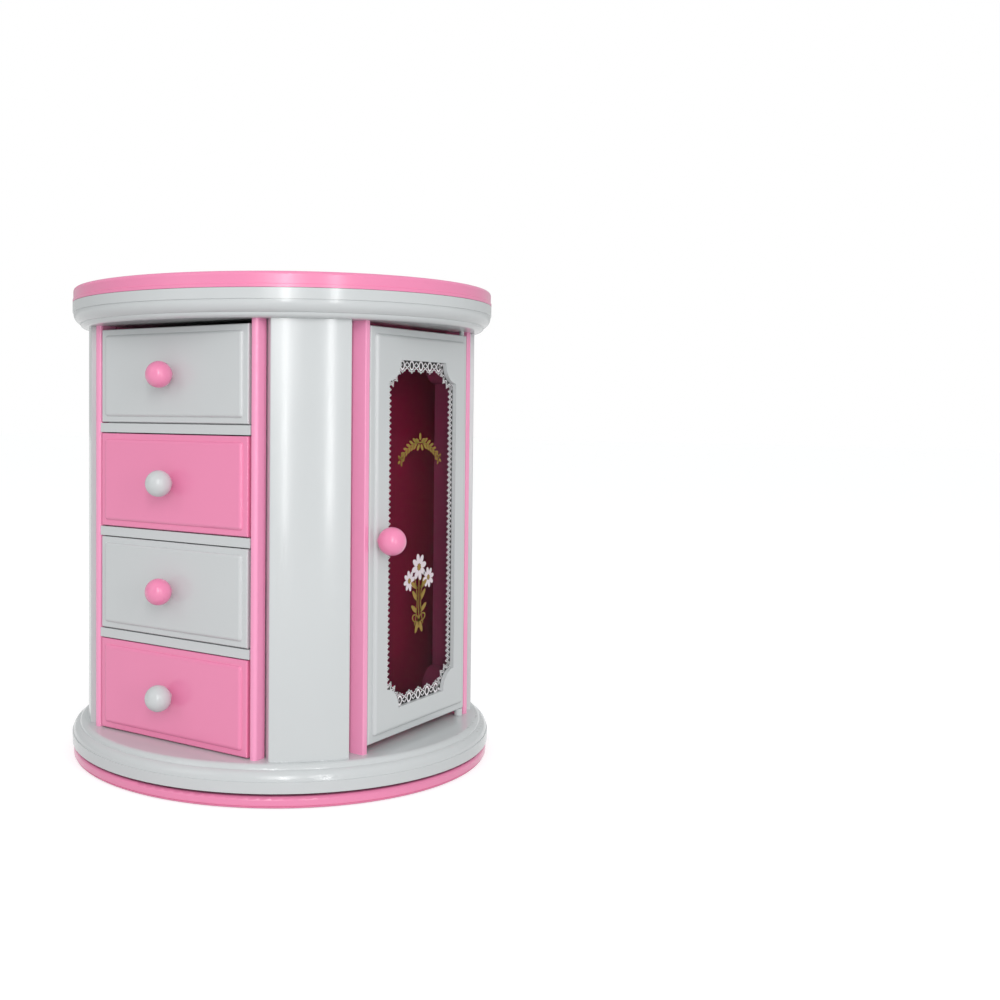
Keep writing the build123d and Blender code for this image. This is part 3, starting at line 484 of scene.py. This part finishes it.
def flat_disc(radius, points, x=0.0, y=0.0, stretch=1.0, turn=0.0):
    """A flat disc or, stretched, a petal; its place is put into its mesh."""
    bpy.ops.mesh.primitive_circle_add(vertices=points, radius=radius, fill_type="NGON")
    petal = bpy.context.object
    petal.data.transform(Matrix.Translation((x, y, 0)) @ Matrix.Rotation(turn, 4, "Z")
                         @ Matrix.Diagonal((stretch, 1.0, 1.0, 1.0)))
    return petal


def keep_beyond(piece, point, normal):
    """Cuts away the side of the plane that normal points away from."""
    edit(piece)
    bpy.ops.mesh.select_all(action="SELECT")
    bpy.ops.mesh.bisect(plane_co=point, plane_no=normal, clear_inner=True)
    leave_edit()
    return piece


def flat_bar(length, width, x, y, turn=0.0):
    """A flat bar with its middle at x, y."""
    bpy.ops.mesh.primitive_plane_add(size=1.0)
    bar = bpy.context.object
    bar.data.transform(Matrix.Translation((x, y, 0)) @ Matrix.Rotation(turn, 4, "Z")
                       @ Matrix.Diagonal((length, width, 1, 1)))
    return bar


def thread(x0, y0, x1, y1, width):
    """A flat straight thread of lace between two points."""
    run = Vector((x1 - x0, y1 - y0))
    return flat_bar(run.length + width, width, (x0 + x1) / 2, (y0 + y1) / 2, atan2(run.y, run.x))


def lace_scallop(pitch, height):
    """One repeat of the wide lace: a long eyelet, crossed threads either side of it and a bobbled point."""
    eyelet = flat_ring(0.26 * pitch, 0.165 * pitch, 10)
    eyelet.data.transform(Matrix.Translation((0, 0.31 * height, 0)) @ Matrix.Diagonal((0.95, 1.15, 1, 1)))
    parts = [eyelet]
    for side in (-1, 1):
        parts.append(thread(side * pitch / 2, 0, side * 0.24 * pitch, 0.30 * height, LACE_THREAD))
        parts.append(thread(side * 0.24 * pitch, 0.30 * height, side * pitch / 2, 0.52 * height, LACE_THREAD))
        parts.append(thread(side * pitch / 2, 0.52 * height, 0, 0.95 * height, LACE_THREAD))
        parts.append(flat_disc(0.075 * pitch, 6, side * 0.25 * pitch, 0.76 * height))
    parts.append(flat_disc(0.085 * pitch, 6, 0, 0.92 * height))
    return join("lace_scallop", parts)


def lace_edging(pitch, height):
    """One repeat of the narrow lace: an open zigzag along the frame, then a bobbled point."""
    half, heading, tip = pitch / 2, 0.54 * height, height - LACE_THREAD
    parts = [flat_disc(0.20 * pitch, 6, 0, heading), flat_disc(0.17 * pitch, 6, 0, tip)]
    for side in (-1, 1):
        parts.append(thread(side * half, 0, 0, heading, LACE_THREAD))
        parts.append(thread(side * half, 0.72 * heading, 0, tip, 0.8 * LACE_THREAD))
    return join("lace_edging", parts)


def stand_on_pane(along, up, inwards, x):
    """The matrix that takes a flat drawing to the pane: X runs along, Y points inwards, Z out of the door."""
    turn = Matrix(((0, 0, 1), (inwards[1], inwards[0], 0), (-inwards[0], inwards[1], 0))).to_4x4()
    return Matrix.Translation((x, along, up)) @ turn


def lace_runs():
    """(scallop, point on the window's edge, unit vector into the window) for every scallop, run by run."""
    places = []
    for lace, length, start, step, inwards in (
        (WIDE_LACE, LEVEL_RUN, (-WINDOW_HALF + NOTCH, WINDOW_LOW), (1, 0), (0, 1)),
        (WIDE_LACE, LEVEL_RUN, (-WINDOW_HALF + NOTCH, WINDOW_HIGH), (1, 0), (0, -1)),
        (SLIM_LACE, UPRIGHT_RUN, (-WINDOW_HALF, WINDOW_LOW + NOTCH), (0, 1), (1, 0)),
        (SLIM_LACE, UPRIGHT_RUN, (WINDOW_HALF, WINDOW_LOW + NOTCH), (0, 1), (-1, 0)),
    ):
        count = round(length / lace[0])
        for i in range(count):
            s = (i + 0.5) * length / count
            places.append((lace, (start[0] + step[0] * s, start[1] + step[1] * s), inwards))
    count = round(NOTCH * pi / 2 / BITE_LACE[0])
    for side, corner, first in (
        (1, WINDOW_LOW, 90), (-1, WINDOW_LOW, 0), (1, WINDOW_HIGH, 180), (-1, WINDOW_HIGH, 270),
    ):
        for i in range(count):
            angle = radians(first + 90 * (i + 0.5) / count)
            out = (cos(angle), sin(angle))
            places.append((BITE_LACE, (side * WINDOW_HALF + NOTCH * out[0], corner + NOTCH * out[1]), out))
    return places


def painted_shade_lace_band():
    """Painted shade: a black ink band under the lace, along the window's edge and round its corner bites, standing
    in for the frame's shadow gap and the dark compartment.
    """
    wide, slim, bite = (SHADE_BAND_SHARE * lace[1] for lace in (WIDE_LACE, SLIM_LACE, BITE_LACE))
    parts = []
    for side, corner in ((-1, WINDOW_LOW), (1, WINDOW_HIGH)):
        parts.append(flat_bar(LEVEL_RUN, wide, 0, corner - side * wide / 2))
        parts.append(flat_bar(slim, UPRIGHT_RUN, side * (WINDOW_HALF - slim / 2), WINDOW_MIDDLE))
    for side in (-1, 1):
        for up, corner in ((1, WINDOW_LOW), (-1, WINDOW_HIGH)):
            fan = flat_disc(NOTCH + bite, 48)
            keep_beyond(fan, (0, 0, 0), (-side, 0, 0))
            keep_beyond(fan, (0, 0, 0), (0, up, 0))
            fan.data.transform(Matrix.Translation((side * WINDOW_HALF, corner, 0)))
            parts.append(fan)
    return join("painted_shade_lace_band", parts)


def lace_border():
    """The lace edging along the whole window, on the front of the right-hand pane."""
    scallops = {WIDE_LACE: lace_scallop(*WIDE_LACE), SLIM_LACE: lace_edging(*SLIM_LACE),
                BITE_LACE: lace_edging(*BITE_LACE)}
    copies = []
    for lace, (along, up), inwards in lace_runs():
        along, up = along + inwards[0] * LACE_INSET, up + inwards[1] * LACE_INSET
        copies.append(copy_at(scallops[lace], stand_on_pane(along, up, inwards, PANE_HIGH.x + INK)))
    discard(*scallops.values())
    return join("lace_border", copies)


def blossom(radius, petals, x, y, turn=0.0):
    """A flat flower of round petals set about its heart."""
    made = []
    for i in range(petals):
        angle = turn + 2 * pi * i / petals
        reach = radius * 0.62
        made.append(flat_disc(radius * 0.22, 12, x + reach * cos(angle), y + reach * sin(angle), 1.75, angle))
    return made


def leaf(length, x, y, turn):
    """A flat slender leaf that grows from x, y towards the angle turn."""
    made = flat_disc(length / 2, 14)
    made.data.transform(Matrix.Translation((x, y, 0)) @ Matrix.Rotation(turn, 4, "Z")
                        @ Matrix.Translation((length / 2, 0, 0)) @ Matrix.Diagonal((1.0, 0.36, 1.0, 1.0)))
    return made


def arc_stem(radius, width, middle, half_sweep, x, y):
    """A curved stem: a ring of this radius, cut back to the stretch about the angle middle."""
    ring = flat_ring(radius + width / 2, radius - width / 2, 72)
    for side in (-1, 1):
        angle = middle + side * half_sweep
        keep_beyond(ring, (0, 0, 0), (side * sin(angle), -side * cos(angle), 0))
    ring.data.transform(Matrix.Translation((x, y, 0)))
    return ring


def garland_print():
    """The upper print: a gold garland hung in an arch, with paired leaves and three small blossoms."""
    top = radians(90)

    def on_arch(angle):
        """The point on the arch's stem at this angle."""
        return GARLAND_RADIUS * cos(angle), GARLAND_DROP + GARLAND_RADIUS * sin(angle)

    parts = [arc_stem(GARLAND_RADIUS, 0.55 * MM, top, GARLAND_REACH, 0, GARLAND_DROP)]
    for step in range(-GARLAND_PAIRS, GARLAND_PAIRS + 1):
        if step == 0:
            continue
        angle = top - GARLAND_REACH * step / (GARLAND_PAIRS + 0.5)
        outwards = -1 if step > 0 else 1
        for lean in (-1, 1):
            # the leaves shrink towards the ends of the arch
            turn = angle + outwards * radians(90) + lean * STEM_LEAN
            parts.append(leaf((4.4 - 0.25 * abs(step)) * MM, *on_arch(angle), turn))
    parts += blossom(4.4 * MM, 5, 0, GARLAND_DROP + GARLAND_RADIUS, top)
    for side in (-1, 1):
        angle = top - side * GARLAND_REACH
        parts += blossom(3.0 * MM, 5, *on_arch(angle), angle)
    return join("garland_print", parts)


def bouquet_gold():
    """The lower print's gold: stems, leaves, a bow and the hearts of its blossoms."""
    parts = []
    for side in (-1, 1):
        parts.append(arc_stem(STEM_RADIUS, 0.6 * MM, radians(0 if side < 0 else 180), radians(24),
                              side * 27.5 * MM, -4.0 * MM))
    parts.append(flat_bar(0.6 * MM, 22 * MM, 0, -5 * MM))
    for side in (-1, 1):
        for rise, turn in ((-9.0, 35), (-3.5, 48), (2.0, 30)):
            angle = radians(turn) if side > 0 else radians(180 - turn)
            parts.append(leaf(6.2 * MM, side * 1.4 * MM, rise * MM, angle))
        bow = flat_ring(2.6 * MM, 1.9 * MM, 20)
        bow.data.transform(Matrix.Translation((side * 2.9 * MM, -11.5 * MM, 0)) @ Matrix.Rotation(
            side * radians(18), 4, "Z") @ Matrix.Diagonal((1.15, 0.7, 1, 1)))
        parts.append(bow)
        parts.append(leaf(7.0 * MM, 0, -12.0 * MM, radians(-90 + side * 26)))
    for x, y, radius in BLOSSOMS:
        parts.append(flat_disc(radius * 0.25, 14, x, y))
    return join("bouquet_gold", parts)


def bouquet_white():
    """The lower print's white: the petals of three daisies."""
    parts = []
    for x, y, radius in BLOSSOMS:
        parts += blossom(radius, 8, x, y, 0.2)
    return join("bouquet_white", parts)


def print_on_pane(drawing, up=0.0, lift=0.0):
    """Stands a flat drawing on the right-hand pane, its middle at height up and lift in front of the face."""
    drawing.data.transform(stand_on_pane(0, up, (0, 1), PANE_HIGH.x + lift))
    return drawing


def ink_film(piece):
    """Gives a flat print its thickness, just in front of the pane."""
    select_only(piece)
    apply_modifier(piece, "SOLIDIFY", thickness=INK, offset=0.0)
    piece.data.transform(Matrix.Translation((INK / 2 + INK_LIFT, 0, 0)))
    face_outwards(piece)


def finish_print(piece, name, ink):
    """Inks the right-hand print, then makes the left-hand one by turning a copy half round."""
    ink_film(piece)
    piece.data.materials.clear()
    piece.data.materials.append(ink)
    other = copy_at(piece, Matrix.Rotation(pi, 4, "Z"))
    for made, side in ((piece, "right"), (other, "left")):
        made.name = f"{name}_{side}"
        made.data.name = made.name
        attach(made, f"door_{side}")


# the black band under the lace is painted shade
finish_print(print_on_pane(painted_shade_lace_band()), "painted_shade_lace_band", painted_shade_ink)
finish_print(lace_border(), "lace_border", lace_ink)
finish_print(print_on_pane(garland_print(), WINDOW_MIDDLE + GARLAND_RISE), "garland_print", gold_ink)
finish_print(print_on_pane(bouquet_white(), WINDOW_MIDDLE - BOUQUET_DROP), "bouquet_petals", petal_ink)
finish_print(print_on_pane(bouquet_gold(), WINDOW_MIDDLE - BOUQUET_DROP, INK), "bouquet_stems", gold_ink)


# --- Ring cushion under the lid --------------------------------------------------------------------------------
def upright_drum(radius, low, high):
    """A drum about the tower's axis, from height low to height high."""
    bpy.ops.mesh.primitive_cylinder_add(vertices=128, radius=radius, depth=high - low,
                                        location=(0, 0, (low + high) / 2))
    return apply_place(bpy.context.object)


def cut_with(piece, cutter):
    """Takes the cutter's shape out of the piece and throws the cutter away."""
    apply_modifier(piece, "BOOLEAN", object=cutter, operation="DIFFERENCE", solver="EXACT")
    discard(cutter)


def velvet_tray():
    """The flocked tray: a round slab with two wells and a trough for the ring rolls."""
    tray = upright_drum(TRAY_HIGH.x, TRAY_LOW.z, TRAY_HIGH.z)
    for side in (-1, 1):
        well = upright_drum(WELL_RADIUS, TRAY_LOW.z + TRAY_FLOOR, TRAY_HIGH.z + 5 * MM)
        edit(well)
        bpy.ops.mesh.select_all(action="SELECT")
        bpy.ops.mesh.bisect(plane_co=(side * WELL_GAP, 0, 0), plane_no=(side, 0, 0), clear_inner=True,
                            use_fill=True)
        leave_edit()
        cut_with(tray, well)
    bpy.ops.mesh.primitive_cube_add(size=1.0)
    trough = bpy.context.object
    trough.data.transform(Matrix.Translation((0, 0, TRAY_HIGH.z)) @ Matrix.Diagonal(
        (ROLL_FIELD, ROLL_LENGTH + TROUGH_AIR, 2 * TROUGH_DEPTH, 1)))
    cut_with(tray, trough)
    apply_modifier(tray, "BEVEL", width=0.5 * MM, segments=3, limit_method="ANGLE", angle_limit=radians(40))
    face_outwards(tray)
    select_only(tray)
    bpy.ops.object.shade_smooth_by_angle(angle=radians(35))
    tray.name = "velvet_tray"
    return tray


def ring_rolls():
    """Soft rolls side by side; a ring is pushed down between two of them."""
    pitch = ROLL_FIELD / ROLL_COUNT
    floor = TRAY_HIGH.z - TROUGH_DEPTH
    bpy.ops.mesh.primitive_cylinder_add(vertices=20, radius=pitch * ROLL_SHARE, depth=ROLL_LENGTH,
                                        rotation=(pi / 2, 0, 0))
    roll = apply_place(bpy.context.object)
    roll.data.transform(Matrix.Diagonal((1, 1, ROLL_RISE / (pitch * ROLL_SHARE), 1)))
    apply_modifier(roll, "BEVEL", width=1.2 * MM, segments=4, limit_method="ANGLE", angle_limit=radians(50))
    rolls = []
    for i in range(ROLL_COUNT):
        x = (i - (ROLL_COUNT - 1) / 2) * pitch
        rolls.append(copy_at(roll, Matrix.Translation((x, 0, floor + ROLL_RISE))))
    discard(roll)
    made = join("ring_rolls", rolls)
    select_only(made)
    bpy.ops.object.shade_smooth()
    return made


tray = velvet_tray()
rolls = ring_rolls()
for piece in (tray, rolls):
    piece.data.materials.clear()
    piece.data.materials.append(rose_velvet)
    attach(piece, "cabinet")
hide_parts("ring_tray")


# --- Studio ----------------------------------------------------------------------------------------------------
def pale_floor():
    """A pale paper sweep: white to the camera and to reflections, yet it keeps the object's shadow."""
    material, tree, output = new_material("pale_backdrop_paper")
    place = add(tree, "TexCoord").outputs["Object"]
    fibre = add(tree, "TexNoise", {"Scale": 1 / (3 * MM), "Detail": 3.0}, {"Vector": place})
    tint = add(tree, "Mix", {"A": linear("#C9C9C9"), "B": linear("#CFCFCF")}, {"Factor": fibre.outputs["Fac"]},
               data_type="RGBA")
    paper = add(tree, "BsdfPrincipled", {"Roughness": 0.9, "Specular IOR Level": 0.1},
                {"Base Color": tint.outputs["Result"]})
    ray = add(tree, "LightPath")
    seen = add(tree, "Math", None, {0: ray.outputs["Is Camera Ray"], 1: ray.outputs["Is Glossy Ray"]},
               operation="MAXIMUM")
    seen = add(tree, "Math", None, {0: seen.outputs[0], 1: ray.outputs["Is Transmission Ray"]},
               operation="MAXIMUM")
    level = add(tree, "Math", {1: FLOOR_GLOW}, {0: seen.outputs[0]}, operation="MULTIPLY")
    glow = add(tree, "Emission", {"Color": (1, 1, 1, 1)}, {"Strength": level.outputs[0]})
    both = add(tree, "AddShader", None, {0: paper.outputs["BSDF"], 1: glow.outputs["Emission"]})
    tree.links.new(both.outputs["Shader"], output.inputs["Surface"])
    bpy.ops.mesh.primitive_plane_add(size=2 * FLOOR_HALF)
    floor = bpy.context.object
    floor.name = "studio_floor"
    floor.data.materials.append(material)


def white_world():
    """White behind the object, and a plain even fill from all round."""
    world = bpy.data.worlds.new("studio")
    bpy.context.scene.world = world
    world.use_nodes = True
    tree = world.node_tree
    tree.nodes.clear()
    ray = add(tree, "LightPath")
    fill = add(tree, "Background", {"Color": linear("#F4F6F6"), "Strength": SKY_FILL})
    white = add(tree, "Background", {"Color": (1, 1, 1, 1), "Strength": 1.0})
    chosen = add(tree, "MixShader", None, {0: ray.outputs["Is Camera Ray"], 1: fill.outputs["Background"],
                                           2: white.outputs["Background"]})
    output = add(tree, "OutputWorld")
    tree.links.new(chosen.outputs["Shader"], output.inputs["Surface"])


def soft_box(name, place, size, power):
    """A rectangular soft light at place, aimed at the tower."""
    lamp = bpy.data.lights.new(name, "AREA")
    lamp.shape = "RECTANGLE"
    lamp.size, lamp.size_y = size
    lamp.energy = power
    holder = bpy.data.objects.new(name, lamp)
    bpy.context.scene.collection.objects.link(holder)
    direction = Vector(AIM) - Vector(place)
    holder.location = place
    holder.rotation_euler = direction.to_track_quat("-Z", "Y").to_euler()


def studio_camera():
    """The camera at its azimuth and height, then yawed, pitched and rolled."""
    turn, yaw, pitch, roll = (radians(a) for a in (CAMERA_AZIMUTH, CAMERA_YAW, CAMERA_PITCH, CAMERA_ROLL))
    forward = Vector((-sin(turn), cos(turn), 0))
    right = Vector((cos(turn), sin(turn), 0))
    up = Vector((0, 0, 1))
    ahead = forward * cos(yaw) + right * sin(yaw)
    side = right * cos(yaw) - forward * sin(yaw)
    look = ahead * cos(pitch) - up * sin(pitch)
    top = up * cos(pitch) + ahead * sin(pitch)
    rolled_side = side * cos(roll) + top * sin(roll)
    rolled_top = top * cos(roll) - side * sin(roll)
    data = bpy.data.cameras.new("studio_camera")
    data.lens = CAMERA_LENS
    data.sensor_width = 36.0
    data.shift_x, data.shift_y = CAMERA_SHIFT
    data.clip_start, data.clip_end = 0.01, 20.0
    camera = bpy.data.objects.new("studio_camera", data)
    bpy.context.scene.collection.objects.link(camera)
    matrix = Matrix((rolled_side, rolled_top, -look)).transposed().to_4x4()
    matrix.translation = Vector((sin(turn), -cos(turn), 0)) * CAMERA_DISTANCE * MM + up * CAMERA_HEIGHT * MM
    camera.matrix_world = matrix
    bpy.context.scene.camera = camera


pale_floor()
white_world()
for lamp in LAMPS:
    soft_box(*lamp)
studio_camera()
bpy.context.scene.view_settings.view_transform = "Standard"
